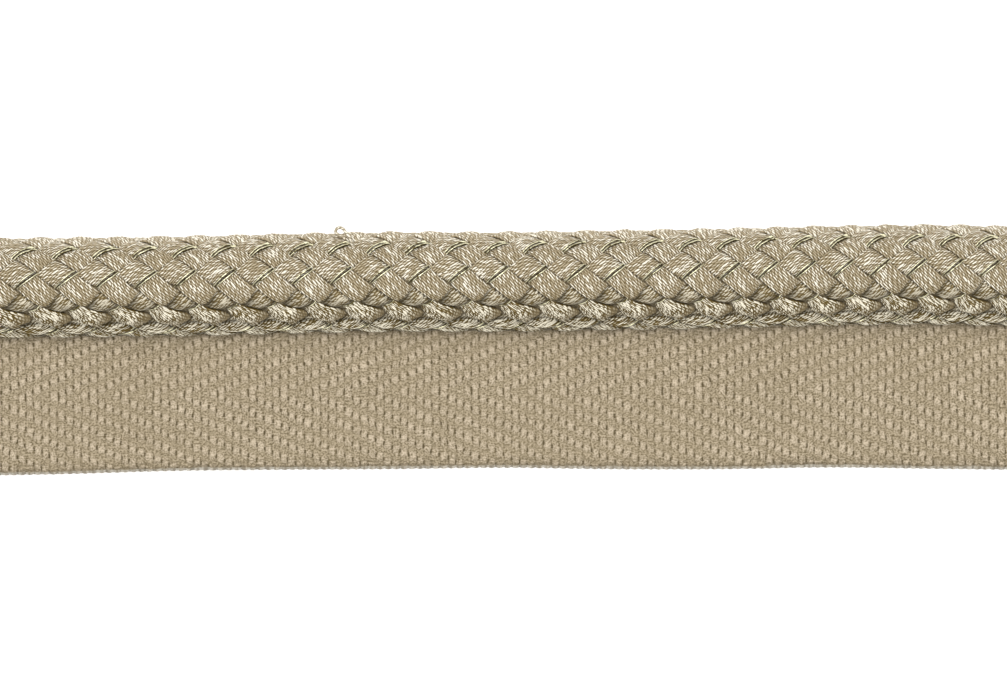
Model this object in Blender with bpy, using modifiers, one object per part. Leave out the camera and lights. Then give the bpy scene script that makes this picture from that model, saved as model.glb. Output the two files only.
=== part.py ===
"""A cut length of braided lip cord, lying flat.

A round cord braided from flat strands, its lower edge pinched into a thin tail, and a
twill tape that lies under the tail. Units are metres. +X runs along the cord, the tape
reaches towards -Y, and both rest on the plane Z = 0.
"""

import math

import bpy
import numpy as np

# Driving dimensions of the cord.
LENGTH = 0.100
CORD_RADIUS = 0.00405
REST_FLAT = 0.00015
TAIL_REACH = 0.0051
TAIL_THICKNESS = 0.0013
UPPER_FILLET = 0.00035
LOWER_FILLET = 0.0003

# Driving dimensions of the tape.
TAPE_THICKNESS = 0.0010
TAPE_GAP = 0.0003
TAPE_TUCK = 0.0035
TAPE_EDGE_ROUND = 0.00025
TAPE_COLUMNS = 40
TAPE_ROWS = 4

# The braid: its diamonds repeat every PITCH along X and there are LEVELS rows of them round the
# cord. FIRST_CELL is the X of a diamond in an even row.
PITCH = 0.00353
LEVELS = 18
FIRST_CELL = -0.01563
END_FADE = 0.006
TURN_LEVELS = (5.25, 5.75)

CORD_COLOUR = (0.43, 0.37, 0.27)
CORD_SHARP = math.radians(75)
TAPE_COLOUR = (0.43, 0.35, 0.23)

MM = 0.001

# One row for each 10 mm along X: where the cord's axis and the tape's free edge run, and how
# far the diamonds have crept along the cord.
COURSE_COLUMNS = ("x_mm", "axis_y_mm", "hem_y_mm", "creep_mm")
COURSE = np.array(
    [
        (-50, 6.20, -11.44, -0.70),
        (-40, 6.30, -11.24, -0.30),
        (-30, 6.41, -10.95, -0.04),
        (-20, 6.64, -10.85, 0.00),
        (-10, 6.81, -10.79, 0.00),
        (0, 6.81, -10.67, 0.09),
        (10, 6.97, -10.80, 0.09),
        (20, 7.13, -10.80, 0.00),
        (30, 7.37, -10.64, -0.32),
        (40, 7.46, -10.77, -0.89),
        (50, 7.20, -10.89, -1.45),
    ]
)

# One row for each level of diamonds that differs from its neighbours. Arc is the way round the
# section from the cord's top line to the diamonds' centres, groove the depth between diamonds,
# sink how far a diamond's crown lies below the section's outline, and lag its shift along X.
LEVEL_COLUMNS = ("level", "arc_mm", "groove_mm", "sink_mm", "lag_mm")
LEVEL_ROWS = np.array(
    [
        (0, -3.67, 0.45, 0.00, 0.00),
        (2, -0.95, 0.45, 0.00, 0.00),
        (3, 0.44, 0.45, 0.00, 0.15),
        (4, 1.88, 0.30, 0.25, 0.60),
        (5, 3.45, 0.60, 0.00, 1.10),
        (6, 8.05, 0.30, 0.00, 1.60),
        (7, 9.10, 0.30, 0.00, 2.00),
        (8, 10.30, 0.30, 0.00, 1.90),
        (10, 13.03, 0.40, 0.00, 1.20),
        (14, 18.50, 0.45, 0.00, 0.30),
        (18, 23.96, 0.45, 0.00, 0.00),
    ]
)


def column(table, names, name):
    """One named column of a table."""
    return table[:, names.index(name)]


def course(x, name):
    """A column of COURSE at each x, in metres, on a smooth curve through its rows.

    Between two rows it is the cubic whose slope at each row is that of the line through
    the row's two neighbours. Past the cut ends it keeps the end row's value.
    """
    rows_x = column(COURSE, COURSE_COLUMNS, "x_mm") * MM
    rows = column(COURSE, COURSE_COLUMNS, name) * MM
    slope = np.gradient(rows, rows_x)
    step = rows_x[1] - rows_x[0]
    x = np.clip(x, rows_x[0], rows_x[-1])
    low = np.clip(((x - rows_x[0]) // step).astype(int), 0, len(rows) - 2)
    t = (x - rows_x[low]) / step
    return (
        (2 * t**3 - 3 * t**2 + 1) * rows[low]
        + (t**3 - 2 * t**2 + t) * step * slope[low]
        + (3 * t**2 - 2 * t**3) * rows[low + 1]
        + (t**3 - t**2) * step * slope[low + 1]
    )


def level_value(level, name):
    """A column of LEVEL_ROWS at each level, in metres, straight between its rows."""
    rows = column(LEVEL_ROWS, LEVEL_COLUMNS, name) * MM
    return np.interp(level, column(LEVEL_ROWS, LEVEL_COLUMNS, "level"), rows)


def arc(centre_y, centre_z, radius, start, end, steps):
    """Points on an arc, by angle in degrees from +Y towards +Z, without its last point."""
    angle = np.radians(np.linspace(start, end, steps, endpoint=False))
    return centre_y + radius * np.cos(angle), centre_z + radius * np.sin(angle)


def fillet_centre(centre_z, fillet, fillet_z):
    """Where a fillet of the body and the tail has its centre in Y, and the angle to the body's."""
    fillet_y = -math.sqrt((CORD_RADIUS + fillet) ** 2 - (centre_z - fillet_z) ** 2)
    return fillet_y, math.degrees(math.atan2(centre_z - fillet_z, -fillet_y))


def cord_section():
    """The cord's cross-section as a fine closed line of (y, z) about its axis in Y.

    It starts at the top of the round body, goes over the -Y side, round the tail and back
    under the body. The part that would dip below the resting plane is flattened.
    """
    centre_z = CORD_RADIUS - REST_FLAT
    tail_base = TAPE_THICKNESS + TAPE_GAP
    tail_radius = TAIL_THICKNESS / 2
    upper_z = tail_base + TAIL_THICKNESS + UPPER_FILLET
    lower_z = tail_base - LOWER_FILLET
    upper_y, upper_turn = fillet_centre(centre_z, UPPER_FILLET, upper_z)
    lower_y, lower_turn = fillet_centre(centre_z, LOWER_FILLET, lower_z)
    tip_y = tail_radius - TAIL_REACH
    arcs = [
        arc(0, centre_z, CORD_RADIUS, 90, 180 + upper_turn, 300),
        arc(upper_y, upper_z, UPPER_FILLET, upper_turn, -90, 60),
        arc(tip_y, tail_base + tail_radius, tail_radius, 90, 270, 90),
        arc(lower_y, lower_z, LOWER_FILLET, 90, lower_turn, 30),
        arc(0, centre_z, CORD_RADIUS, 180 + lower_turn, 450, 600),
    ]
    y, z = np.concatenate(arcs, axis=1)
    return y, np.maximum(z, 0)


def round_the_section(arc_position, depth):
    """The (y, z) points at these ways round the section, each sunk in by its depth."""
    y, z = cord_section()
    y = np.append(y, y[0])
    z = np.append(z, z[0])
    way = np.append(0, np.cumsum(np.hypot(np.diff(y), np.diff(z))))
    normal_y = np.gradient(z, way)
    normal_z = -np.gradient(y, way)
    at = arc_position % way[-1]
    sunk_y = np.interp(at, way, y) - depth * np.interp(at, way, normal_y)
    sunk_z = np.interp(at, way, z) - depth * np.interp(at, way, normal_z)
    return sunk_y, np.maximum(sunk_z, 0)


def cell_depth(step, level):
    """How deep the braid's surface lies at a place between diamonds.

    Diamonds sit where step and level are whole and their sum is even. The depth grows with
    the square of the way from a diamond's middle, 0, to its edge, 1.
    """
    along = step + level
    across = step - level
    reach = np.maximum(
        np.abs(along - 2 * np.round(along / 2)), np.abs(across - 2 * np.round(across / 2))
    )
    return level_value(level, "groove_mm") * reach**2 + level_value(level, "sink_mm")


def braid_grid():
    """Steps along the braid and their X for each ring, then the levels round the section.

    A ring lies at each half step of the braid, and one at each cut end. The levels are halves
    too, with more where the surface turns down from the round body to the tail.
    """
    reach = int(4 * LENGTH / PITCH)
    step = np.arange(-reach, reach) / 2
    ring_x = FIRST_CELL + step * PITCH / 2
    ring_x = ring_x + course(ring_x, "creep_mm")
    inside = np.abs(ring_x) < LENGTH / 2 - PITCH / 8
    ends = np.array([-LENGTH / 2, LENGTH / 2])
    end_steps = np.interp(ends, ring_x, step)
    step = np.concatenate([end_steps[:1], step[inside], end_steps[1:]])
    ring_x = np.concatenate([ends[:1], ring_x[inside], ends[1:]])
    level = np.sort(np.append(np.arange(0, LEVELS, 0.5), TURN_LEVELS))
    return step, ring_x, level


def braided_cord():
    """Points and faces of the cord: a ring of points round the section at each ring's X.

    The lag of a level slides its points along X, and fades out towards the cut ends so that
    they stay flat. Each square between points is split along the edge of a diamond.
    """
    step, ring_x, level = braid_grid()
    fade = np.clip((LENGTH / 2 - np.abs(ring_x)) / END_FADE, 0, 1)
    fade = fade * fade * (3 - 2 * fade)
    x = ring_x[:, None] + fade[:, None] * level_value(level, "lag_mm")[None, :]
    depth = cell_depth(step[:, None], level[None, :])
    arc_position = np.broadcast_to(level_value(level, "arc_mm"), x.shape)
    y, z = round_the_section(arc_position, depth)
    points = np.stack([x, y + course(x, "axis_y_mm"), z], axis=-1).reshape(-1, 3)

    rings, around = x.shape
    half_step = np.floor(2 * step).astype(int)
    half_level = np.floor(2 * level).astype(int)
    faces = []
    for i in range(rings - 1):
        near, far = i * around, (i + 1) * around
        for j in range(around):
            k = (j + 1) % around
            if (half_step[i] + half_level[j]) % 2 == 0:
                faces.append((near + j, near + k, far + k))
                faces.append((near + j, far + k, far + j))
            else:
                faces.append((near + j, near + k, far + j))
                faces.append((near + k, far + k, far + j))
    faces.append(tuple(range(around))[::-1])
    faces.append(tuple((rings - 1) * around + j for j in range(around)))
    return points, faces


def tape_sheet():
    """Points and faces of the tape's middle surface, from its tucked edge to its free edge."""
    x = np.linspace(-LENGTH / 2, LENGTH / 2, TAPE_COLUMNS + 1)
    tucked = course(x, "axis_y_mm") - TAPE_TUCK
    free = course(x, "hem_y_mm")
    down = np.linspace(0, 1, TAPE_ROWS + 1)
    y = tucked[:, None] + (free - tucked)[:, None] * down[None, :]
    z = np.full(y.shape, TAPE_THICKNESS / 2)
    points = np.stack([np.broadcast_to(x[:, None], y.shape), y, z], axis=-1).reshape(-1, 3)
    side = TAPE_ROWS + 1
    faces = [
        (i * side + j, i * side + j + 1, (i + 1) * side + j + 1, (i + 1) * side + j)
        for i in range(TAPE_COLUMNS)
        for j in range(TAPE_ROWS)
    ]
    return points, faces


def yarn_material(name, colour, roughness):
    """A plain cloth finish: its linear colour and roughness, no metal."""
    material = bpy.data.materials.new(name)
    material.use_nodes = True
    shader = material.node_tree.nodes["Principled BSDF"]
    shader.inputs["Base Color"].default_value = (*colour, 1)
    shader.inputs["Roughness"].default_value = roughness
    shader.inputs["Metallic"].default_value = 0
    return material


def add_piece(name, points, faces, material, collection):
    """A mesh object of these points and faces in the part's collection."""
    mesh = bpy.data.meshes.new(name)
    mesh.from_pydata(points.tolist(), [], faces)
    mesh.materials.append(material)
    mesh.shade_smooth()
    piece = bpy.data.objects.new(name, mesh)
    collection.objects.link(piece)
    return piece


for old in list(bpy.data.objects):
    bpy.data.objects.remove(old)

trim = bpy.data.collections.new("braided_lip_cord")
bpy.context.scene.collection.children.link(trim)

# The braid is lustrous yarn, so it is smoother than the cotton tape.
cord_yarn = yarn_material("cord_yarn", CORD_COLOUR, 0.5)
cord_points, cord_faces = braided_cord()
cord = add_piece("braided_cord", cord_points, cord_faces, cord_yarn, trim)
cord.data.set_sharp_from_angle(angle=CORD_SHARP)

# The tape is a sheet with its thickness put on both sides of its middle surface.
tape_cotton = yarn_material("tape_cotton", TAPE_COLOUR, 0.85)
tape_points, tape_faces = tape_sheet()
tape = add_piece("lip_tape", tape_points, tape_faces, tape_cotton, trim)
thicken = tape.modifiers.new("thickness", "SOLIDIFY")
thicken.thickness = TAPE_THICKNESS
thicken.offset = 0
soften = tape.modifiers.new("edge_round", "BEVEL")
soften.width = TAPE_EDGE_ROUND
soften.segments = 2
soften.limit_method = "ANGLE"
soften.angle_limit = math.radians(60)
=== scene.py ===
"""A cut length of braided lip cord, lying flat on a white table.

Flat strands of plied yarn are braided round the cord, and pairs of gold filament run along
half of them. The cord's squashed lower edge is sewn along a herringbone tape. The meshes are in
metres, and shapes are worked out in mm first where a comment or docstring says so. +X runs
along the cord and the tape reaches towards -Y.
"""

import math

import bpy
import numpy as np
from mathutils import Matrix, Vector


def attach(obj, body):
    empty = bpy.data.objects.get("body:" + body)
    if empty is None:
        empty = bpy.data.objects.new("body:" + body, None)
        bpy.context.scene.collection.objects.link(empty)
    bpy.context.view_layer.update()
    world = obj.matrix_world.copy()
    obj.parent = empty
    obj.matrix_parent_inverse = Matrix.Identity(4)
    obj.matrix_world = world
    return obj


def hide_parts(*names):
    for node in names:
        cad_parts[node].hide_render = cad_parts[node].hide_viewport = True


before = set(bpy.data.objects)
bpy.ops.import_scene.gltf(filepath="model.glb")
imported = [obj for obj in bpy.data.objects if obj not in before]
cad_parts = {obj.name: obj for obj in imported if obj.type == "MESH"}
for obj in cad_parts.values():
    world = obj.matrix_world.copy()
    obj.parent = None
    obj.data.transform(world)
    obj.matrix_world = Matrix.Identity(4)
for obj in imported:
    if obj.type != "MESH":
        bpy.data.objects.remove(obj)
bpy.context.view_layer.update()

# The braid's strands. Each is a flat bundle of ten plied yarns of lustrous viscose. Nine go
# round the cord one way and nine the other, each over one and under the next. They are pulled
# tight where the cord's edge is squashed and sewn, and cut off square at both ends.
MM = 0.001
LENGTH = 0.100
PITCH = 0.00353
FIRST_CELL = -0.01563
LEVELS = 18
END_FADE = 0.006

# The cord's section, in mm: a round body with a flat rest, a rounded tail at its side and a
# fillet above and below where they meet. Its outline is smoothed over this many of its steps.
CORD_RADIUS = 4.05
REST_FLAT = 0.15
TAIL_REACH = 5.1
TAIL_BASE = 1.3
TAIL_THICKNESS = 1.3
UPPER_FILLET = 0.35
LOWER_FILLET = 0.3
OUTLINE_STEPS = 1400
OUTLINE_SMOOTHING = 35

# Every 10 mm along X, in mm: the cord's axis, the tape's free edge, and the creep of the braid.
COURSE_COLUMNS = ("x", "axis_y", "hem_y", "creep")
COURSE = np.array(
    [
        (-50, 6.20, -11.44, -0.70),
        (-40, 6.30, -11.24, -0.30),
        (-30, 6.41, -10.95, -0.04),
        (-20, 6.64, -10.85, 0.00),
        (-10, 6.81, -10.79, 0.00),
        (0, 6.81, -10.67, 0.09),
        (10, 6.97, -10.80, 0.09),
        (20, 7.13, -10.80, 0.00),
        (30, 7.37, -10.64, -0.32),
        (40, 7.46, -10.77, -0.89),
        (50, 7.20, -10.89, -1.45),
    ]
)

# Rows of the braid's cells round the cord, in mm: the way round the section, half the climb of
# a strand, how deep a rising strand is pressed (or, below 0, how far a falling one stands out),
# how far its edges fall below its crown, its shift along X, and the strand's thickness.
LEVEL_COLUMNS = ("level", "arc", "swing", "press", "crown", "lag", "thick")
LEVEL_ROWS = np.array(
    [
        (0, -3.70, 0.25, 0.00, 0.13, 0.00, 0.46),
        (2, -0.74, 0.25, 0.02, 0.13, 0.05, 0.46),
        (3, 1.00, 0.25, 0.12, 0.15, 0.28, 0.46),
        (4, 2.85, 0.24, 0.20, 0.22, 0.62, 0.44),
        (5, 4.60, 0.30, 0.28, 0.36, 1.20, 0.44),
        (5.5, 7.30, 0.24, 0.18, 0.16, 1.40, 0.34),
        (6, 7.95, 0.18, 0.02, 0.12, 1.60, 0.28),
        (7, 8.90, 0.15, 0.00, 0.10, 2.00, 0.26),
        (8, 10.20, 0.15, 0.00, 0.08, 1.90, 0.26),
        (10, 13.03, 0.22, 0.00, 0.13, 1.20, 0.40),
        (14, 18.00, 0.25, 0.00, 0.13, 0.30, 0.46),
        (16, 20.65, 0.31, -0.17, 0.15, 0.10, 0.46),
    ]
)

# Half a strand's width and how far a rising one's lower edge is drawn in are in levels. A full
# strand's thickness, the depth between its yarns and the drop at its edges are in mm.
STRAND_HALF = 0.97
FULL_THICKNESS = 0.46
DRAWN_IN = 0.22
YARNS = 10
YARN_PARTS = 4
UNDER_PLACES = 6
YARN_DEPTH = 0.055
EDGE_DROP = 0.10
RINGS = 341

# How far the strands wander sideways, in half widths, and their yarns sideways, in yarn widths,
# and upwards, in mm. The patterns of the strands and of the two lays start some mm apart, so
# that none repeats another.
STRAND_DRIFT = 0.05
YARN_SWAY = 0.2
YARN_RISE = 0.035
STRANDS_APART = 41.7
LAYS_APART = 13.3

# Where the painted shade and light change: the level that is tucked in above the squashed edge,
# the middle of the low side, which is painted in deeper shade, the levels of the tail's rim and
# the crease over the tail by its way round in mm, both painted darker as shade, and the middle of
# the far side, which is painted lighter.
TUCKED_LEVEL = 4
LOW_LEVEL = 6
RIM_LEVELS = (6.5, 10)
CREASE_ARC = 7.35
FAR_LEVEL = 16.3


def smooth_through(rows_at, rows, at):
    """Values on the cubic curve through the rows, each row's slope that of its neighbours."""
    slope = np.gradient(rows, rows_at)
    low = np.clip(np.searchsorted(rows_at, at, side="right") - 1, 0, len(rows) - 2)
    step = rows_at[low + 1] - rows_at[low]
    t = (at - rows_at[low]) / step
    return (
        (2 * t**3 - 3 * t**2 + 1) * rows[low]
        + (t**3 - 2 * t**2 + t) * step * slope[low]
        + (3 * t**2 - 2 * t**3) * rows[low + 1]
        + (t**3 - t**2) * step * slope[low + 1]
    )


def course(x, name):
    """A column of COURSE at each x, both in mm, held at its last row past the cut ends."""
    rows = COURSE[:, COURSE_COLUMNS.index(name)]
    return smooth_through(COURSE[:, 0], rows, np.clip(x, COURSE[0, 0], COURSE[-1, 0]))


def arc_points(centre_y, centre_z, radius, start, end, steps):
    """Points on an arc, by angle in degrees from +Y towards +Z, without its last point."""
    angle = np.radians(np.linspace(start, end, steps, endpoint=False))
    return centre_y + radius * np.cos(angle), centre_z + radius * np.sin(angle)


def fillet_turn(fillet, fillet_z):
    """The Y of a fillet's centre between the round body and the tail, and its angle there."""
    rise = CORD_RADIUS - REST_FLAT - fillet_z
    fillet_y = -math.sqrt((CORD_RADIUS + fillet) ** 2 - rise**2)
    return fillet_y, math.degrees(math.atan2(rise, -fillet_y))


def cord_outline():
    """The cord's section as (way round, y, z, normal y, normal z) in mm, about its axis in Y.

    The line starts at the cord's top, goes over the -Y side, round the tail and back under.
    """
    centre_z = CORD_RADIUS - REST_FLAT
    upper_z = TAIL_BASE + TAIL_THICKNESS + UPPER_FILLET
    lower_z = TAIL_BASE - LOWER_FILLET
    tail_radius = TAIL_THICKNESS / 2
    upper_y, upper_turn = fillet_turn(UPPER_FILLET, upper_z)
    lower_y, lower_turn = fillet_turn(LOWER_FILLET, lower_z)
    arcs = [
        arc_points(0, centre_z, CORD_RADIUS, 90, 180 + upper_turn, 300),
        arc_points(upper_y, upper_z, UPPER_FILLET, upper_turn, -90, 60),
        arc_points(tail_radius - TAIL_REACH, TAIL_BASE + tail_radius, tail_radius, 90, 270, 90),
        arc_points(lower_y, lower_z, LOWER_FILLET, 90, lower_turn, 30),
        arc_points(0, centre_z, CORD_RADIUS, 180 + lower_turn, 450, 600),
    ]
    y, z = np.concatenate([*arcs, ((0,), (centre_z + CORD_RADIUS,))], axis=1)
    way = np.append(0, np.cumsum(np.hypot(np.diff(y), np.diff(z))))
    even = np.linspace(0, way[-1], OUTLINE_STEPS, endpoint=False)
    window = np.hanning(OUTLINE_SMOOTHING) / np.hanning(OUTLINE_SMOOTHING).sum()
    line = np.tile([np.interp(even, way, y), np.interp(even, way, np.maximum(z, 0))], 3)
    once_round = slice(OUTLINE_STEPS - 1, 2 * OUTLINE_STEPS + 1)
    y, z = (np.convolve(row, window, "same")[once_round] for row in line)
    run_y, run_z = np.gradient(y)[1:-1], np.gradient(z)[1:-1]
    length = np.hypot(run_y, run_z)
    return even, y[1:-1], z[1:-1], run_z / length, -run_y / length


# The way round the whole section, in mm, and the levels repeated three times so that they close.
ROUND = 27.627
OUTLINE = cord_outline()
LEVEL_RING = np.concatenate([LEVEL_ROWS, LEVEL_ROWS, LEVEL_ROWS])
LEVEL_RING[:, 0] += np.repeat([-LEVELS, 0, LEVELS], len(LEVEL_ROWS))
LEVEL_RING[:, 1] += np.repeat([-ROUND, 0, ROUND], len(LEVEL_ROWS))


def level_value(level, name):
    """A column of LEVEL_ROWS at each level round the cord, on a smooth curve that closes."""
    rows = LEVEL_RING[:, LEVEL_COLUMNS.index(name)]
    return smooth_through(LEVEL_RING[:, 0], rows, level % LEVELS)


def steps_of_the_cut():
    """The braid's steps at the two cut ends, where X is half the length either way."""
    step = np.arange(-60, 80, 0.05)
    x = (FIRST_CELL + step * PITCH / 2) / MM
    return np.interp((-LENGTH / 2 / MM, LENGTH / 2 / MM), x + course(x, "creep"), step)


def on_the_cord(step, level, height):
    """Points in metres on the braid, by step along it, level round it and height in mm.

    X comes from the step, its creep and the level's lag, which fades out at the cut ends. The
    level gives the way round the outline, and the height is along the outline's normal.
    """
    x = (FIRST_CELL + step * PITCH / 2) / MM
    x = np.clip(x + course(x, "creep"), -LENGTH / 2 / MM, LENGTH / 2 / MM)
    fade = np.clip((LENGTH / 2 - np.abs(x) * MM) / END_FADE, 0, 1)
    x = x + fade * fade * (3 - 2 * fade) * level_value(level, "lag")
    way, *columns = OUTLINE
    at = level_value(level, "arc")
    y, z, out_y, out_z = (np.interp(at, way, c, period=ROUND) for c in columns)
    y = y + height * out_y + course(x, "axis_y")
    z = np.maximum(z + height * out_z, 0)
    return np.stack(np.broadcast_arrays(x, y, z), axis=-1) * MM


def wander(shape, along, reach, seed):
    """Smooth random offsets, one row for each thread: three waves of random length and phase."""
    rng = np.random.default_rng(seed)
    waves = np.zeros(shape + along.shape)
    for length in (1.7, 3.1, 5.3):
        turn = rng.uniform(0, 2 * np.pi, shape + (1,))
        stretch = rng.uniform(0.8, 1.25, shape + (1,))
        waves += np.sin(2 * np.pi * along * stretch / length + turn)
    return reach * waves / 3


def strand_level(start, step, lay, across):
    """The level of a place across a strand: its start, one level a step, and its half width.

    A rising strand's lower edge is drawn in by up to DRAWN_IN where the strand lies on top,
    as half of one plus the cosine of the step.
    """
    drawn = DRAWN_IN * (lay < 0) * (0.5 + 0.5 * np.cos(np.pi * step)) * np.clip(across, 0, None)
    return start + lay * step + across * STRAND_HALF - drawn


def strand_height(step, level, lay, across):
    """How high a strand's middle surface lies, in mm, without its separate yarns.

    It swings up and down as a cosine of the step, flattened at its crowns, and falls off
    with the square of the way across the strand.
    """
    ride = np.sin(np.pi / 2 * -lay * np.cos(np.pi * (step + lay * across * STRAND_HALF / 2)))
    press = level_value(level, "press")
    pressed = np.where(lay < 0, np.maximum(press, 0), np.minimum(press, 0))
    crown = level_value(level, "crown") * across**2
    return -pressed - level_value(level, "swing") * (1 - ride) - crown


def open_height(step, level, lay, across):
    """How openly a strand lies, in mm: its height over the strand of the other lay there.

    It counts as fully open past the other strand's edge, and less where the braid is pressed
    and on the strand's own lower side. The yarn's look paints a strand darker as shade the less
    openly it lies, so its lower edges get painted shade.
    """
    aside = (level + lay * step + 1) % 2 - 1
    drawn = DRAWN_IN * (lay > 0) * (0.5 + 0.5 * np.cos(np.pi * step)) * (aside > 0)
    other = aside / (STRAND_HALF - drawn)
    over = strand_height(step, level, lay, across) - strand_height(step, level, -lay, other)
    over = np.where(np.abs(other) > 1, np.maximum(over, 0.18), over)
    # The strand's lower edge counts as less open, so that it gets painted shade, as the light
    # falls from beyond.
    lower_edge = 0.06 * across + 0.30 * np.clip(across - 0.7, 0, None)
    return over - 0.35 * level_value(level, "press") - lower_edge


def near_level(level, centre, reach):
    """The reach less the distance from a level of the cord, in levels, held between 0 and 1."""
    return np.clip(reach - np.abs(level % LEVELS - centre), 0, 1)


def strand_shades(step, level, lay, across):
    """What the strands' look reads at each place: how open, low, turned down and far over it
    lies.

    These set its painted shade and light. Openness is the open height, less where the strand is
    tucked in, at the tail's rim and in the crease over the tail, and the less open a place is,
    the darker it is painted as shade. A falling strand is painted dark as shade past its crown
    where the braid is pressed, where it turns down away from the light, and a rising one a little
    where it is tucked in. The low side gets deeper painted shade and the far side painted light.
    """
    place = level % LEVELS
    press = level_value(level, "press")
    past_crown = (step + lay * across * STRAND_HALF / 2 + (lay < 0)) % 2 - 1
    turning = np.clip((past_crown - 0.1) / 0.4, 0, 1) * np.clip(press / 0.26, 0, 1)
    tucked = near_level(level, TUCKED_LEVEL, 1.3) * (lay < 0)
    # Painted shade on a falling strand's tip, turned down away from the light, and a little on a
    # tucked-in rising strand.
    turned_down_shade = 0.9 * turning * (lay > 0) + 0.3 * tucked
    rim_from, rim_to = RIM_LEVELS
    rim = np.clip((place - rim_from) / 0.4, 0, 1) * np.clip(rim_to - place, 0, 1)
    crease = np.clip(1 - np.abs(level_value(level, "arc") - CREASE_ARC) / 0.35, 0, 1)
    # Less open, so painted darker as shade, where tucked in, at the tail's rim and in the crease
    # over the tail.
    openness = open_height(step, level, lay, across) - (0.1 * tucked + 0.22 * rim + 0.4 * crease)
    # The low side, away from the light, gets deeper painted shade and brighter painted glints;
    # the far side, returned last, gets painted light.
    low_side = np.clip(2.2 - 0.8 * np.abs(place - LOW_LEVEL), 0, 1) + 0.7 * tucked
    return openness, low_side, turned_down_shade, near_level(level, FAR_LEVEL, 2)


def strands(lay, starts):
    """Points and UVs of strands whose level goes up (lay 1) or down (lay -1) with the step.

    A ring of points lies at each step, across the strand's yarns and back under it. The UVs
    hold the way along the strand in mm, the yarn that it is on, how openly it lies, how far
    down the cord's lower side it is, how much painted shade it gets where it turns down and how
    far over on the far side it is, which the look reads to paint shade and light. The last three
    go from 0 to 1, the first of them to about 1.5 where a strand is tucked in.
    """
    step = np.linspace(*steps_of_the_cut(), RINGS)[None, :, None]
    over = np.linspace(0, YARNS, YARNS * YARN_PARTS + 1)
    yarn = np.concatenate([over, np.linspace(YARNS, 0, UNDER_PLACES)[1:-1]])
    is_under = np.arange(len(yarn)) >= len(over)
    across = 2 * yarn / YARNS - 1
    starts = np.array(starts)[:, None, None]
    own = np.clip(np.floor(yarn).astype(int), 0, YARNS - 1)
    part = yarn - own
    drift, sway, rise = (
        wander((len(starts), threads), step[0, :, 0], reach, seed + lay).transpose(0, 2, 1)
        for threads, reach, seed in (
            (1, STRAND_DRIFT, 11),
            (YARNS + 1, YARN_SWAY, 21),
            (YARNS, YARN_RISE, 31),
        )
    )
    sway = (1 - part) * sway[..., own] + part * sway[..., own + 1]
    swayed = across + np.sin(np.pi * yarn / YARNS) * 2 / YARNS * sway
    level = strand_level(starts, step, lay, swayed + drift)
    middle = strand_height(step, level, lay, swayed)
    thick = level_value(level, "thick")
    flat = thick / FULL_THICKNESS
    lobe = np.sqrt(np.clip(1 - (2 * part - 1) ** 2, 0, 1))
    top = middle + flat * (YARN_DEPTH * (lobe - 1) + rise[..., own] * lobe)
    top = top - EDGE_DROP * flat * (np.abs(across) > 0.999)
    points = on_the_cord(step, level, np.where(is_under, middle - thick, top))

    smooth = on_the_cord(step, level, middle) / MM
    along = np.gradient(smooth, axis=1)
    along = along / np.linalg.norm(along, axis=-1, keepdims=True)
    to_next = np.diff(smooth, axis=2, prepend=smooth[:, :, :1])
    shift = np.cumsum(np.sum(to_next * along, axis=-1), axis=2)
    centre = YARNS * YARN_PARTS // 2
    line = smooth[:, :, centre]
    run = np.cumsum(np.linalg.norm(np.diff(line, axis=1, prepend=line[:, :1]), axis=-1), axis=1)
    run = run + STRANDS_APART * np.arange(len(starts))[:, None] + LAYS_APART * lay
    run = run[:, :, None] + shift - shift[:, :, centre : centre + 1]
    openness, *shades = strand_shades(step, level, lay, swayed)
    grids = (run, np.where(is_under, -1, openness), *shades)
    run, *grids = (np.concatenate([grid, grid[:, :, :1]], axis=2) for grid in grids)
    row = np.where(is_under, YARNS + 0.5 + 0.05 * np.arange(len(yarn)), yarn)
    row = np.append(row, YARNS + 1)
    return points, np.stack(np.broadcast_arrays(run, row, *grids), axis=-1)


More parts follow.
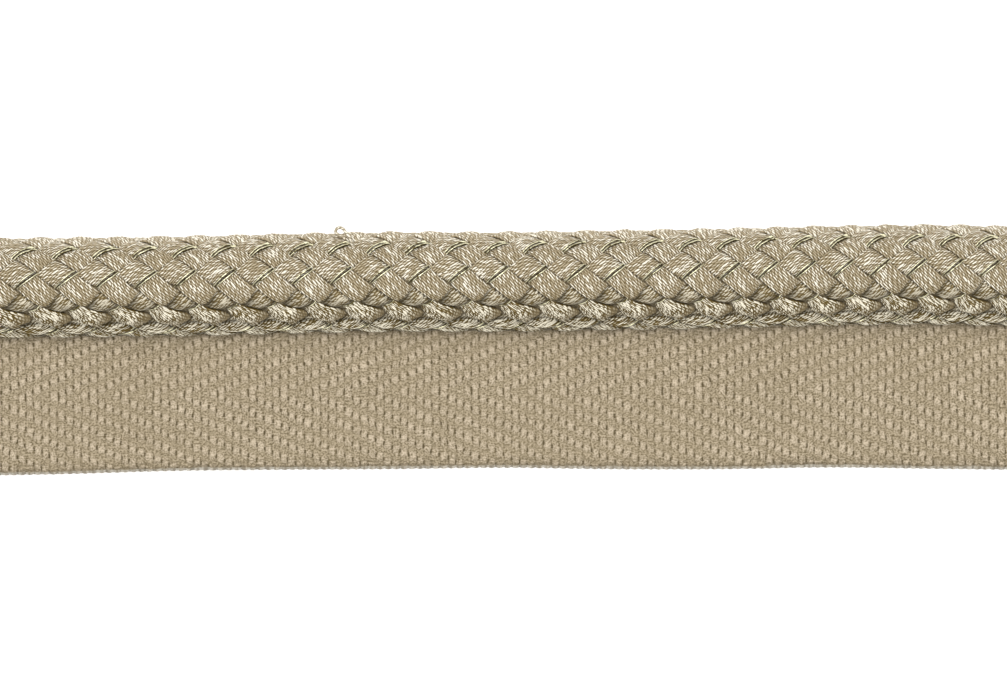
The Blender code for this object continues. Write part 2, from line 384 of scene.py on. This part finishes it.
def add_swept(name, points, uv, material):
    """A mesh of closed rings joined one to the next and capped, for one thread or several.

    Points are (thread, ring, place round it, 3); UVs have one more place round, for the seam,
    and two numbers for each of one to three maps. The faces are turned round when the first
    thread's volume comes out negative.
    """
    threads, rings, around, _ = points.shape
    index = np.arange(threads * rings * around).reshape(threads, rings, around)
    index = np.concatenate([index, index[:, :, :1]], axis=2)
    corner = np.arange(threads * rings * (around + 1)).reshape(threads, rings, around + 1)

    def quads(grid):
        """The four corners of each square of the grid."""
        square = (grid[:, :-1, :-1], grid[:, :-1, 1:], grid[:, 1:, 1:], grid[:, 1:, :-1])
        return np.stack(square, axis=-1).reshape(-1, 4)

    faces, spots = quads(index), quads(corner)
    first = faces[: (rings - 1) * around]
    flat = points.reshape(-1, 3)
    a, b, c = (flat[first[:, i]] - flat[0] for i in (0, 1, 2))
    turned = 1 if np.einsum("ij,ij->", a, np.cross(b, c)) > 0 else -1
    ends = [(t, ring, -turned * way) for t in range(threads) for ring, way in ((0, 1), (-1, -1))]
    caps = [index[t, ring, :around][::way] for t, ring, way in ends]
    cap_spots = [corner[t, ring, :around][::way] for t, ring, way in ends]
    loops = np.concatenate([faces[:, ::turned].reshape(-1), *caps])
    spots = np.concatenate([spots[:, ::turned].reshape(-1), *cap_spots])
    sizes = np.concatenate([np.full(len(faces), 4), np.full(2 * threads, around)])

    mesh = bpy.data.meshes.new(name)
    mesh.vertices.add(len(flat))
    mesh.vertices.foreach_set("co", flat.reshape(-1))
    mesh.loops.add(len(loops))
    mesh.loops.foreach_set("vertex_index", loops)
    mesh.polygons.add(len(sizes))
    mesh.polygons.foreach_set("loop_start", np.append(0, np.cumsum(sizes)[:-1]))
    mesh.polygons.foreach_set("use_smooth", sizes == 4)
    at_spots = uv.reshape(-1, uv.shape[-1])[spots]
    for layer, first_column in zip(("UVMap", "Place", "ShadeAndLight"), range(0, uv.shape[-1], 2)):
        pair = at_spots[:, first_column : first_column + 2]
        mesh.uv_layers.new(name=layer).uv.foreach_set("vector", pair.reshape(-1))
    mesh.materials.append(material)
    mesh.update(calc_edges=True)
    mesh.validate()
    piece = bpy.data.objects.new(name, mesh)
    bpy.context.scene.collection.objects.link(piece)
    return piece


class Value:
    """A number or colour that varies over a surface: one socket of a material's nodes."""

    def __init__(self, look, socket):
        self.look, self.socket = look, socket

    def __add__(self, other):
        return self.look.math("ADD", self, other)

    def __sub__(self, other):
        return self.look.math("SUBTRACT", self, other)

    def __rsub__(self, other):
        return self.look.math("SUBTRACT", other, self)

    def __mul__(self, other):
        return self.look.math("MULTIPLY", self, other)

    def __truediv__(self, other):
        return self.look.math("DIVIDE", self, other)

    def __pow__(self, other):
        return self.look.math("POWER", self, other)

    def __lt__(self, other):
        return self.look.math("LESS_THAN", self, other)

    __radd__ = __add__
    __rmul__ = __mul__


class Look:
    """A material, built node by node round its Principled shader."""

    def __init__(self, name, **constants):
        self.material = bpy.data.materials.new(name)
        self.material.use_nodes = True
        self.tree = self.material.node_tree
        self.shader = self.tree.nodes["Principled BSDF"]
        for key, number in constants.items():
            self.shader.inputs[key.replace("_", " ")].default_value = number

    def node(self, kind, settings, values, output=0):
        """A node of any type: its settings first, then the values or links of its sockets."""
        node = self.tree.nodes.new(kind)
        for key, setting in settings.items():
            setattr(node, key, setting)
        for key, value in values.items():
            if isinstance(value, Value):
                self.tree.links.new(value.socket, node.inputs[key])
            else:
                node.inputs[key].default_value = value
        return Value(self, node.outputs[output])

    def math(self, operation, *values):
        """A Math node of one, two or three values."""
        return self.node("ShaderNodeMath", {"operation": operation}, dict(enumerate(values)))

    def parts(self, vector):
        """The three numbers of a vector."""
        split = self.tree.nodes.new("ShaderNodeSeparateXYZ")
        self.tree.links.new(vector.socket, split.inputs[0])
        return [Value(self, socket) for socket in split.outputs]

    def uv(self, name="UVMap"):
        """The two numbers of one of the piece's UV maps."""
        return self.parts(self.node("ShaderNodeUVMap", {"uv_map": name}, {}))[:2]

    def place(self):
        """X, Y and Z in the piece's own frame, in metres."""
        return self.parts(self.node("ShaderNodeTexCoord", {}, {}, 3))

    def noise(self, x, y, z=0.0, detail=1.0):
        """Noise from 0 to 1 at a place that three numbers give, with features one unit apart."""
        place = self.node("ShaderNodeCombineXYZ", {}, {0: x, 1: y, 2: z})
        values = {"Vector": place, "Scale": 1.0, "Detail": detail}
        return self.node("ShaderNodeTexNoise", {}, values)

    def ease(self, value, low, high):
        """0 at low and before it, 1 at high and past it, with a smooth step between them."""
        values = {"Value": value, "From Min": low, "From Max": high}
        return self.node("ShaderNodeMapRange", {"interpolation_type": "SMOOTHSTEP"}, values)

    def blend(self, factor, low, high):
        """A colour that goes from low to high with the factor."""
        values = {0: factor, 6: low, 7: high}
        return self.node("ShaderNodeMix", {"data_type": "RGBA"}, values, 2)

    def tinted(self, factor, colour, tint):
        """A colour that goes towards itself times the tint with the factor."""
        settings = {"data_type": "RGBA", "blend_type": "MULTIPLY"}
        return self.node("ShaderNodeMix", settings, {0: factor, 6: colour, 7: tint}, 2)

    def into(self, name, value):
        """Links a value to one of the shader's sockets."""
        self.tree.links.new(value.socket, self.shader.inputs[name])

    def relief(self, height, strength, distance):
        """Bumps the surface by a height."""
        values = {"Strength": strength, "Distance": distance, "Height": height}
        self.into("Normal", self.node("ShaderNodeBump", {}, values))


# The yarn's colours: painted shade between its plies, its own colour on them, and painted
# glints on their crowns, which are warmer on the cord's low side; then the tint of that side
# and the painted shade of a strand that turns down away from the light.
YARN_DARK = (0.125, 0.088, 0.026, 1)
YARN_BODY = (0.50, 0.415, 0.28, 1)
YARN_BRIGHT = (1.0, 0.94, 0.80, 1)
YARN_WARM = (0.98, 0.91, 0.73, 1)
WARM_SHADE = (0.98, 0.94, 0.78, 1)
YARN_TURNED_SHADE = (0.29, 0.225, 0.125, 1)

# A ply's length along its yarn in mm, its slant across the yarn and its shift from one yarn to
# the next in plies, and the width of a yarn's cut end and the depth that shows it, in metres.
PLY_LENGTH = 0.55
PLY_SLANT = 0.92
PLY_SHIFT = 0.58
YARN_END = 0.00028
CUT_SKIN = 0.00002


def yarn_look(name, dark, body, bright, bedded=0.0):
    """Plied yarn: slanting plies across each yarn, with painted shade between them and painted
    glints on their crowns.

    It is painted darker as shade where the strand goes down between others. On the cord's lower
    side, away from the light, it gets deeper painted shade between its plies, brighter painted
    glints and a warmer tint, and on the far side it is painted lighter. A strand that is bedded
    has a groove along its lower edge, under its gold pair, painted dark as the gold's shadow. A
    cut end shows yarn ends.
    """
    look = Look(name, Roughness=0.5, Specular_IOR_Level=0.12, Sheen_Weight=0.02)
    along, yarn = look.uv()
    is_open, low_side = look.uv("Place")
    turned_down_shade, far_side = look.uv("ShadeAndLight")
    side = look.math("FRACT", yarn) - 0.5
    own = look.math("FLOOR", yarn)
    worn = look.noise(along * 0.7, own * 3.7, 2.0, 1.0)
    turn = along / PLY_LENGTH - side * PLY_SLANT + own * PLY_SHIFT + worn * 2.2
    ply = look.math("ABSOLUTE", look.math("SINE", turn * math.pi))
    crown = 1 - look.math("ABSOLUTE", side * 2.0) ** 1.3
    lot = look.noise(look.math("FLOOR", turn) * 5.3, own * 7.9, 5.0, 0.0)
    fibre = look.noise(turn * 5.0, along * 3.0 + own * 5.0, 7.0, 2.0)
    patch = look.noise(along * 0.35, own * 0.5, 9.0, 1.0)
    lit = ply * (0.05 + crown * 0.95) + (fibre - 0.5) * 0.8
    # Painted shade between the plies, deeper on the low side and lighter on the far side.
    tone = look.blend(look.ease(lit - low_side * 0.36 + far_side * 0.18, -0.05, 0.65), dark, body)
    tone = look.tinted(low_side, tone, WARM_SHADE)
    luck = (lot - 0.5) * 2.1 + (fibre - 0.5) * 0.5 + (patch - 0.5) * 0.5
    luck = luck + low_side * 0.30 + far_side * 0.1
    # Painted glints on the ply crowns, taken away where a strand turns down.
    glint = look.ease(lit + luck, 0.6, 0.9) * (1 - turned_down_shade)
    colour = look.blend(glint, tone, look.blend(low_side, bright, YARN_WARM))
    # Painted shade where a strand turns down away from the light.
    colour = look.blend(turned_down_shade * 0.75, colour, YARN_TURNED_SHADE)
    # The painted shade colour, laid on where the strand goes under others, and as the gold pair's
    # painted shadow in its groove.
    shade = tuple(0.25 * part for part in dark)
    openness = look.ease(is_open - low_side * 0.05, -0.12, 0.16)
    in_bed = look.ease(yarn, 0.88 * YARNS, 0.92 * YARNS) * (yarn < YARNS + 0.01)
    bed = in_bed * (1 - far_side) * (1 - low_side * 0.4) * bedded
    surface = look.blend((openness * 0.82 + 0.18) * (1 - bed * 0.6), shade, colour)
    x, y, z = look.place()
    yarn_end = look.noise(y / YARN_END, z / YARN_END, 5.0, 2.0)
    cut_tone = look.blend(look.ease(yarn_end, 0.35, 0.6), dark, body)
    along_it = look.math("ABSOLUTE", x) < LENGTH / 2 - CUT_SKIN
    look.into("Base Color", look.blend(along_it, cut_tone, surface))
    look.relief(ply ** 0.7 * (0.4 + crown * 0.6) + fibre * 0.12, 0.8, 0.00008)
    return look.material


strand_yarn = yarn_look("strand_yarn", YARN_DARK, YARN_BODY, YARN_BRIGHT)
bedded_yarn = yarn_look("bedded_yarn", YARN_DARK, YARN_BODY, YARN_BRIGHT, 1.0)

# Three strands in a piece, whose levels start two apart.
for lay, side, yarn in ((1, "falling", strand_yarn), (-1, "rising", bedded_yarn)):
    for third in range(3):
        places, uv = strands(lay, range(6 * third, 6 * third + 6, 2))
        strand = add_swept(f"strands_{side}_{third + 1}", places, uv, yarn)
        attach(strand, "root")
        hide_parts("braided_cord")

# Gold filaments. Each strand that rises to the right carries two round threads wrapped in pale
# gold foil along its lower edge, laid in with the yarns, so that they dive under with them.
FILAMENT_RADIUS = 0.07
FILAMENT_SIT = 0.09
FILAMENT_SIDES = 8
FILAMENT_ACROSS = (0.81, 1.06)
FILAMENT_SUNK = 0.22
FILAMENT_SWAY = 0.03
FILAMENT_PLUNGE = 0.16
FILAMENTS_APART = 9.0
TAIL_LEVEL = 8
WRAP_LENGTH = 0.36
# The gold's painted colours: a dark olive painted reflection and shade on the filaments' sides
# and where they are sunk, and a pale painted highlight along their tops.
GOLD_DARK = (0.12, 0.09, 0.018, 1)
GOLD_BRIGHT = (0.95, 0.90, 0.62, 1)


def filaments():
    """Points and UVs of the gold pairs: rings round lines that lie at two places across.

    Each line sits a little over the strand's height, and sinks in where the strand is pressed,
    on the far side and, by turns more and less, in the tail. A ring is in the plane of the cord's
    section, so that it stays flat at the cut ends. The UVs hold the way along in mm, the turn
    round the thread, and how shaded it is.
    """
    step = np.linspace(*steps_of_the_cut(), RINGS)[None, :, None]
    starts = np.repeat(np.arange(0, LEVELS, 2), 2)[:, None, None]
    across = np.tile(FILAMENT_ACROSS, LEVELS // 2)[:, None, None]
    across = across + wander((len(across),), step[0, :, 0], FILAMENT_SWAY, 5)[:, :, None]
    angle = np.linspace(0, 2 * np.pi, FILAMENT_SIDES, endpoint=False)
    level = strand_level(starts, step, -1, across)
    press = np.maximum(level_value(level, "press"), 0)
    plunge = wander((len(across),), step[0, :, 0], FILAMENT_PLUNGE, 8)[:, :, None]
    in_tail = near_level(level, TAIL_LEVEL, 2.5) * (FILAMENT_SUNK + plunge)
    sunk = 0.45 * press + in_tail + near_level(level, FAR_LEVEL, 2) * FILAMENT_SUNK
    height = strand_height(step, level, -1, across) + FILAMENT_SIT - sunk
    height = height + FILAMENT_RADIUS * np.sin(angle)
    way = (level_value(level + 0.05, "arc") - level_value(level - 0.05, "arc")) / 0.1
    level = level + 1.1 * FILAMENT_RADIUS * np.cos(angle) / np.maximum(way, 0.5)
    points = on_the_cord(step, level, height)
    line = points.mean(axis=2)
    run = np.cumsum(np.linalg.norm(np.diff(line, axis=1, prepend=line[:, :1]), axis=-1), axis=1)
    turn = np.arange(FILAMENT_SIDES + 1) / FILAMENT_SIDES
    run = run[:, :, None] / MM + FILAMENTS_APART * np.arange(len(across))[:, None, None]
    shade = press + 0.7 * (sunk - 0.45 * press)
    return points, np.stack(np.broadcast_arrays(run, turn, shade, 0.0), axis=-1)


gold = Look("gold_foil", Metallic=0.6, Roughness=0.35)
gold_along, gold_round = gold.uv()
shaded, _ = gold.uv("Place")
wrap = gold.math("SINE", (gold_along / WRAP_LENGTH + gold_round) * math.pi)
wrap = gold.math("ABSOLUTE", wrap)
glint_breaks = gold.noise(gold_along * 2.2, gold_round * 2.0, 1.0, 2.0)
# A painted highlight along each filament's top and painted dark reflection on its sides, broken
# into dashes along it and painted darker as shade where the filament is sunk.
topmost = 1 - gold.math("ABSOLUTE", gold_round - 0.25) * 5.5
gold_glint = gold.ease(topmost + (glint_breaks - 0.5) * 3.8 + wrap * 0.3 - shaded * 1.8, 0.1, 0.8)
gold.into("Base Color", gold.blend(gold_glint, GOLD_DARK, GOLD_BRIGHT))
gold.relief(wrap ** 0.5, 0.5, 0.00003)
places, uv = filaments()
pairs = add_swept("gold_pairs", places, uv, gold.material)
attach(pairs, "root")
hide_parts("braided_cord")

# The body that the strands are braided round: plain yarn, laid straight, in the shape of the
# cord and squashed in its tail. Along its length it is painted dark, as the shade seen between
# the strands, and at the cut ends it shows pale yarn ends side by side.
BODY_ROUND = 120
BODY_RINGS = 160
BODY_INSET = 0.0001
BODY_CLEAR = 0.00025
MM_A_STEP = 1.76
MM_A_PLACE = 0.75
# The laid yarn's colours are dark as painted shade between the strands. The cut ends' colours are
# the yarn's own.
LAID_DARK = (0.06, 0.045, 0.022, 1)
LAID_PALE = (0.17, 0.138, 0.085, 1)
CUT_DARK = (0.12, 0.092, 0.05, 1)
CUT_PALE = (0.50, 0.43, 0.31, 1)


def body_of_yarn():
    """Points and UVs of the body: the cord's outline sunk in by what the strands take up.

    It ends a little short of the strands and stays clear of the table.
    """
    step = np.linspace(*steps_of_the_cut(), BODY_RINGS)[None, :, None]
    level = np.linspace(0, LEVELS, BODY_ROUND, endpoint=False)[None, None, :]
    depth = 0.5 * level_value(level, "press") + 1.7 * level_value(level, "swing")
    points = on_the_cord(step, np.broadcast_to(level, (1, BODY_RINGS, BODY_ROUND)), -depth)
    points[..., 0] = np.clip(points[..., 0], -LENGTH / 2 + BODY_INSET, LENGTH / 2 - BODY_INSET)
    points[..., 2] = np.maximum(points[..., 2], BODY_CLEAR)
    turn = np.arange(BODY_ROUND + 1) * MM_A_PLACE
    return points, np.stack(np.broadcast_arrays(step * MM_A_STEP, turn), axis=-1)


core = Look("body_yarn", Roughness=0.8, Specular_IOR_Level=0.2)
core_along, core_round = core.uv()
core_x, core_y, core_z = core.place()
ply = core.noise(core_along * 4.0, core_round * 1.5, 3.0, 1.0)
laid = core.blend(core.ease(ply, 0.35, 0.65), LAID_DARK, LAID_PALE)
yarn_end = core.noise(core_y / YARN_END, core_z / YARN_END, 5.0, 0.0)
fibre_end = core.noise(core_y / YARN_END * 4.0, core_z / YARN_END * 4.0, 7.0, 1.0)
cut = core.ease(yarn_end + (fibre_end - 0.5) * 0.35, 0.32, 0.62)
cut_tone = core.blend(cut, CUT_DARK, CUT_PALE)
along_it = core.math("ABSOLUTE", core_x) < LENGTH / 2 - 1.5 * BODY_INSET
core.into("Base Color", core.blend(along_it, cut_tone, laid))
core.relief(cut, 0.6, 0.00006)
places, uv = body_of_yarn()
body = add_swept("yarn_body", places, uv, core.material)
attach(body, "root")
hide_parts("braided_cord")

# A snag: one yarn drawn out of a strand on the cord's far side, in a small loop that stands
# clear of it. Its places are X, Y and Z in mm.
SNAG_PLACES = np.array(
    [
        (-13.76, 9.60, 6.40),
        (-13.86, 9.95, 6.85),
        (-14.05, 10.38, 6.55),
        (-14.26, 10.66, 6.15),
        (-14.44, 10.90, 5.85),
        (-14.62, 11.13, 5.65),
        (-14.92, 11.24, 5.50),
        (-15.18, 11.14, 5.40),
        (-15.30, 10.88, 5.35),
        (-15.16, 10.66, 5.40),
        (-14.85, 10.50, 5.50),
        (-14.45, 10.30, 5.55),
    ]
)
SNAG_RADIUS = 0.135
SNAG_RINGS = 121
SNAG_SIDES = 10


def snag():
    """Points and UVs of a round yarn along the smooth curve through SNAG_PLACES."""
    at = np.linspace(0, len(SNAG_PLACES) - 1, SNAG_RINGS)
    rows = np.arange(len(SNAG_PLACES), dtype=float)
    line = np.stack([smooth_through(rows, SNAG_PLACES[:, i], at) for i in range(3)], axis=-1)
    along = np.gradient(line, axis=0)
    along /= np.linalg.norm(along, axis=-1, keepdims=True)
    side = np.cross(along, (0.0, 0.0, 1.0))
    side /= np.linalg.norm(side, axis=-1, keepdims=True)
    turn = np.arange(SNAG_SIDES + 1) / SNAG_SIDES
    angle = 2 * np.pi * turn[:SNAG_SIDES, None]
    ring = np.cos(angle) * side[:, None] + np.sin(angle) * np.cross(side, along)[:, None]
    run = np.cumsum(np.linalg.norm(np.diff(line, axis=0, prepend=line[:1]), axis=-1))
    uv = np.stack(np.broadcast_arrays(run[None, :, None], turn * 2, 0.3, 0.0, 0.0, 1.0), axis=-1)
    return (line[:, None] + SNAG_RADIUS * ring)[None] * MM, uv


snag_yarn = yarn_look("snag_yarn", (0.16, 0.125, 0.06, 1), (0.52, 0.45, 0.32, 1), YARN_BRIGHT)
places, uv = snag()
loop = add_swept("snagged_yarn", places, uv, snag_yarn)
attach(loop, "root")
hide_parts("braided_cord")

# The lip: a cotton tape in herringbone twill under the cord's tail. Each pick of the weft runs
# across the tape over two ends of the warp and under two, one end further on than the last,
# and the twill turns back in the tape's middle. The weft is thick and the warp thin. Lengths
# here are in mm.
TAPE_TUCK = 3.5
TAPE_THICKNESS = 0.98
PICK = 0.732
ENDS = 40
TURN_END = 20
PICK_PARTS = 4
END_PARTS = 3
UNDER_PARTS = 12
WEFT_REST = 0.06
WEFT_LIFT = 0.085
WEFT_SIDE = 0.12
WARP_LIFT = 0.05
WARP_SIDE = 0.07
HEM_BUMP = 0.1
WOBBLE = 0.045
WOBBLE_WAVES = 14
PICKS_ALONG = 137
EDGE_ROUND = 0.25
UNDERSIDE = 0.02


def uneven(x, y, reach, seed):
    """A smooth random field over the plane: the sum of plane waves of random length and lie."""
    rng = np.random.default_rng(seed)
    total = 0
    for _ in range(WOBBLE_WAVES):
        length = rng.uniform(0.9, 3.6)
        lie = rng.uniform(0, np.pi)
        turn = rng.uniform(0, 2 * np.pi)
        total = total + np.sin(2 * np.pi / length * (x * np.cos(lie) + y * np.sin(lie)) + turn)
    return reach * total / math.sqrt(WOBBLE_WAVES / 2)


def weave_height(picks, ends):
    """How high the upper of weft and warp lies, in mm, at a place in picks and ends.

    Away from the turn the weft goes up and down as a sine with a period of four ends, one end
    later in each pick, and is flat across with steep sides. The warp swings the other way and
    is round across.
    """
    away = np.abs(ends - TURN_END)
    pick = np.floor(picks)
    weft = WEFT_REST + WEFT_LIFT * np.sin(np.pi / 2 * (away - pick))
    weft = weft - WEFT_SIDE * np.abs(2 * (picks - pick) - 1) ** 4
    end = np.floor(away)
    warp = -WARP_LIFT * np.sin(np.pi / 2 * (end + 1 - picks))
    warp = warp - WARP_SIDE * (2 * (away - end) - 1) ** 2
    return np.maximum(weft, warp)


def tape():
    """Points and UVs of the tape: at each X a ring over its top and back along its underside.

    The top has the weave's height. UV holds picks along and ends across. The free edge has a
    small bump where each pick turns back, and away from the edges the threads wobble a little.
    """
    half = LENGTH / 2 / MM
    picks = np.linspace(-half, half, PICKS_ALONG * PICK_PARTS + 1)[:, None] / PICK
    top = np.linspace(0, ENDS, ENDS * END_PARTS + 1)
    under = np.linspace(ENDS, 0, UNDER_PARTS + 1)
    ends = np.concatenate([top, under])[None, :]
    is_under = np.arange(ends.shape[1])[None, :] >= len(top)
    x = picks * PICK
    free, tucked = course(x, "hem_y"), course(x, "axis_y") - TAPE_TUCK
    y = free + (tucked - free) * ends / ENDS
    inside = np.clip((half - np.abs(x)) / 2, 0, 1) * np.clip(ends * (ENDS - ends) / ENDS, 0, 1)
    x, y = x + inside * uneven(x, y, WOBBLE, 41), y + inside * uneven(x, y, WOBBLE, 42)
    y = y - HEM_BUMP * np.abs(np.sin(np.pi * picks)) * np.clip(1 - ends / 1.5, 0, 1)
    rim = np.clip(np.minimum(ends, ENDS - ends), 0, 1)
    rounded = EDGE_ROUND * (1 - np.sqrt(np.clip(1 - (1 - rim) ** 2, 0, 1)))
    z = TAPE_THICKNESS - WEFT_REST - WEFT_LIFT + weave_height(picks, ends) - rounded
    z = np.where(is_under, UNDERSIDE + rounded, z)
    points = np.stack(np.broadcast_arrays(x, y, z), axis=-1)[None] * MM
    row = np.concatenate([top, 2 * ENDS - under + 2, [2 * ENDS + 2]])
    uv = np.stack(np.broadcast_arrays(picks, row[None, :]), axis=-1)
    return points, uv


# The cotton's colours: dark and pale weft and warp, partly painted light and shade, the painted
# shade in the gaps between threads, the dashes and the painted shade beside the free edge, the
# thread that runs along it, and the wear over the whole.
WEFT_DARK = (0.15, 0.112, 0.05, 1)
WEFT_PALE = (0.63, 0.525, 0.385, 1)
WARP_DARK = (0.12, 0.09, 0.038, 1)
WARP_PALE = (0.53, 0.435, 0.30, 1)
GAP_SHADE = (0.08, 0.057, 0.02, 1)
DASH_COLOUR = (0.12, 0.09, 0.045, 1)
HEM_SHADE = (0.08, 0.06, 0.03, 1)
THREAD_DARK = (0.24, 0.21, 0.16, 1)
THREAD_PALE = (0.55, 0.51, 0.43, 1)
WORN_COLOUR = (0.30, 0.235, 0.14, 1)

cotton = Look("tape_cotton_twill", Roughness=0.85, Sheen_Weight=0.03)
picks, ends = cotton.uv()
pick = cotton.math("FLOOR", picks)
away = cotton.math("ABSOLUTE", ends - TURN_END)
end = cotton.math("FLOOR", away)
across_pick = cotton.math("ABSOLUTE", (picks - pick) * 2.0 - 1.0)
across_end = cotton.math("ABSOLUTE", (away - end) * 2.0 - 1.0)
lift = cotton.math("SINE", (away - pick) * (math.pi / 2))
weft_high = lift * WEFT_LIFT + WEFT_REST - across_pick ** 4.0 * WEFT_SIDE
warp_high = cotton.math("SINE", (end + 1.0 - picks) * (math.pi / 2)) * -WARP_LIFT
warp_high = warp_high - across_end ** 2.0 * WARP_SIDE
shown = cotton.ease(weft_high - warp_high, -0.015, 0.015)
streak = cotton.noise(picks * 9.0, ends * 0.6, 0.0, 2.0)
fleck = cotton.noise(picks * 1.5, ends * 3.5, 4.0, 2.0)
speck = cotton.noise(picks * 4.0, ends * 2.2, 6.0, 2.0)
cloud = cotton.noise(picks * 0.12, ends * 0.1, 8.0, 2.0)
lot = cotton.noise(pick * 3.3, cotton.math("FLOOR", (away - pick) / 4.0) * 2.9, 3.0, 0.0)
grain = speck * 5.5 + streak * 2.0 + lot * 0.8 - 4.15
# The weft is painted lighter where it rides high and darker at its sides, as light and shade,
# over its random grain.
pad = cotton.ease(lift * 0.4 + grain - across_pick ** 5.0 * 0.9, -1.4, 1.4)
weft_tone = cotton.blend(pad, WEFT_DARK, WEFT_PALE)
# The warp is painted darker as shade beside the weft's edges, over its random grain.
ridge = cotton.ease(speck * 5.5 + fleck * 2.0 - 3.75 - across_pick ** 5.0 * 0.25, -1.4, 1.4)
warp_tone = cotton.blend(ridge, WARP_DARK, WARP_PALE)
cloth = cotton.blend(shown, warp_tone, weft_tone)
# Painted shade in the crevices where the warp dips under the weft.
warp_down = cotton.ease(warp_high + across_end ** 2.0 * WARP_SIDE, 0.02, -0.05)
crevice = across_pick ** 3.0 * warp_down
gap = cotton.ease(crevice + (fleck - 0.5) * 1.3 + (speck - 0.5) * 1.0, 0.1, 0.9)
cloth = cotton.blend(gap, cloth, GAP_SHADE)
selvage = cotton.ease(ends, 3.2, 2.2)
dash = cotton.ease(cotton.noise(picks * 1.6 + ends, ends * 2.0, 2.0, 1.0), 0.46, 0.58)
cloth = cotton.blend(selvage * dash * 0.45, cloth, DASH_COLOUR)
bead = cotton.noise(picks * 1.7, 0.0, 5.0, 1.0)
hem = cotton.ease(ends + (bead - 0.5) * 1.2, 1.3, 0.9)
cloth = cotton.blend(hem * 0.45, cloth, HEM_SHADE)
thread = cotton.blend(cotton.ease(bead, 0.4, 0.6), THREAD_DARK, THREAD_PALE)
at_edge = cotton.ease(ends + (bead - 0.5) * 0.5, 0.75, 0.45)
cloth = cotton.blend(at_edge * 0.9, cloth, thread)
worn = cotton.blend(cotton.ease(cloud, 0.3, 0.7) * 0.2, cloth, WORN_COLOUR)
cotton.into("Base Color", worn)
upper = cotton.math("MAXIMUM", weft_high, warp_high)
cotton.relief(upper * 8.0 + streak * 0.25 + fleck * 0.15, 0.6, 0.00008)
places, uv = tape()
lip = add_swept("lip_tape_weave", places, uv, cotton.material)
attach(lip, "root")
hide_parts("lip_tape")

# The table, its light and the camera: a white board under three large soft lights, one beyond
# the cord, a weaker one nearer and one above, and a long lens straight above.
FRAME_WIDTH = 0.0921
LENS = 200
SENSOR = 36
CAMERA_Y = 0.00027
SCALE_HEIGHT = 0.0035
BOARD_Z = -0.0002


def soft_light(name, place, size, watts):
    """A square area light at a place, turned to the middle of the part's underside."""
    light = bpy.data.lights.new(name, "AREA")
    light.shape = "SQUARE"
    light.size = size
    light.energy = watts
    lamp = bpy.data.objects.new(name, light)
    lamp.location = place
    lamp.rotation_euler = (-Vector(place)).to_track_quat("-Z", "Y").to_euler()
    bpy.context.scene.collection.objects.link(lamp)


board = bpy.data.meshes.new("board")
corners = [(x, y, BOARD_Z) for x, y in ((-1, -1), (1, -1), (1, 1), (-1, 1))]
board.from_pydata(corners, [], [(0, 1, 2, 3)])
white = Look("white_board", Roughness=0.9, Emission_Strength=0.45)
white.shader.inputs["Base Color"].default_value = (0.85, 0.85, 0.85, 1)
white.shader.inputs["Emission Color"].default_value = (1, 1, 1, 1)
board.materials.append(white.material)
table = bpy.data.objects.new("board", board)
bpy.context.scene.collection.objects.link(table)

soft_light("light_beyond", (-0.10, 0.24, 0.55), 0.3, 1.7)
soft_light("light_near", (0.15, -0.35, 0.45), 0.4, 0.9)
soft_light("light_above", (0.0, 0.02, 0.7), 0.3, 1.7)
world = bpy.data.worlds.new("studio")
world.use_nodes = True
world.node_tree.nodes["Background"].inputs["Color"].default_value = (1, 1, 1, 1)
world.node_tree.nodes["Background"].inputs["Strength"].default_value = 0.4
bpy.context.scene.world = world
bpy.context.scene.view_settings.view_transform = "Standard"

lens = bpy.data.cameras.new("camera")
lens.lens = LENS
lens.sensor_width = SENSOR
lens.clip_start = 0.01
lens.clip_end = 5
camera = bpy.data.objects.new("camera", lens)
camera.location = (0, CAMERA_Y, SCALE_HEIGHT + FRAME_WIDTH * LENS / SENSOR)
bpy.context.scene.collection.objects.link(camera)
bpy.context.scene.camera = camera
